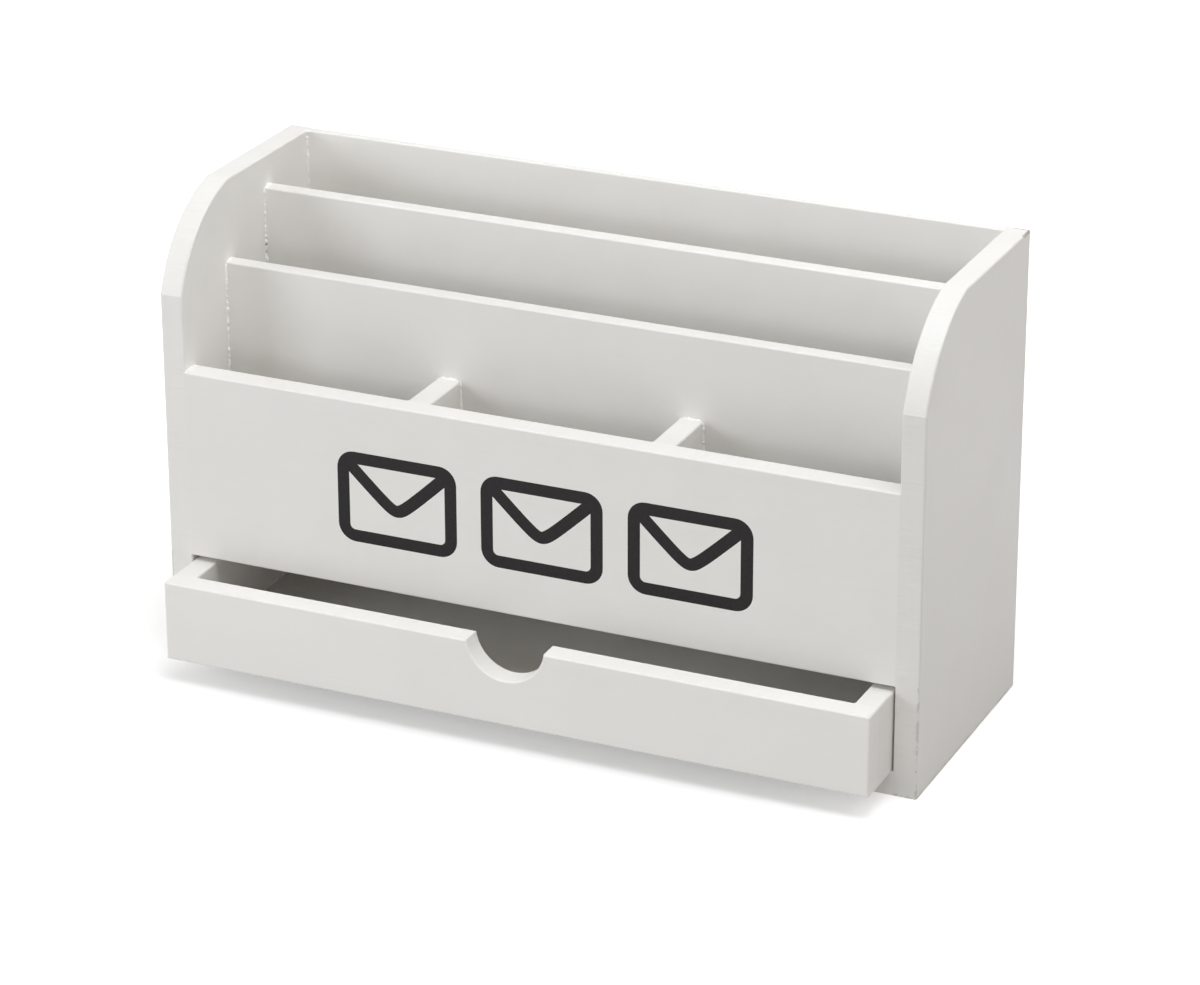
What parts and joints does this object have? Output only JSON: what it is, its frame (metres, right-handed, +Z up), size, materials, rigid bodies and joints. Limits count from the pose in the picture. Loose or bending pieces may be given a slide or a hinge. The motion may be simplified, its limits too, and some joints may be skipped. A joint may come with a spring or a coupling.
{
  "type": "envelope sorter",
  "caption": "White painted desktop envelope sorter: long slots and a row of short compartments stepped up to the back, curved side panels and a notched drawer below.",
  "frame": {"origin": "centre of the cabinet's footprint at desk level, halfway between the side panels and halfway between their front edges and the back", "axes": "+X to the right of someone facing the front, +Y from the front to the back, +Z up, millimetres in the files; the drawer slides out along -Y"},
  "size_m": [0.33, 0.139, 0.198],
  "materials": {
    "white_paint": "satin brushed white paint over wood fibre board",
    "drawer_paint": "satin brushed white paint over wood, also inside the drawer",
    "back_board": "thin white painted fibre board",
    "brad_steel": "plain drawn wire, out of sight under filler and paint"
  },
  "bodies": {
    "cabinet": {"left_side_panel": "white_paint", "right_side_panel": "white_paint", "base_panel": "white_paint", "shelf_panel": "white_paint", "front_panel": "white_paint", "back_panel": "back_board", "middle_divider": "white_paint", "rear_divider": "white_paint", "left_cross_divider": "white_paint", "right_cross_divider": "white_paint", "left_side_brads": "brad_steel", "right_side_brads": "brad_steel", "back_brads": "brad_steel", "cross_divider_brads": "brad_steel"},
    "drawer": {"drawer_front": "drawer_paint", "drawer_left_side": "drawer_paint", "drawer_right_side": "drawer_paint", "drawer_back": "drawer_paint", "drawer_bottom": "drawer_paint", "drawer_front_brads": "brad_steel", "drawer_back_brads": "brad_steel", "drawer_bottom_brads": "brad_steel"}
  },
  "joints": [
    {"name": "drawer_slide", "type": "slide", "parent": "cabinet", "child": "drawer", "axis": [0, -1, 0], "range_m": [-0.025, 0.06]}
  ]
}
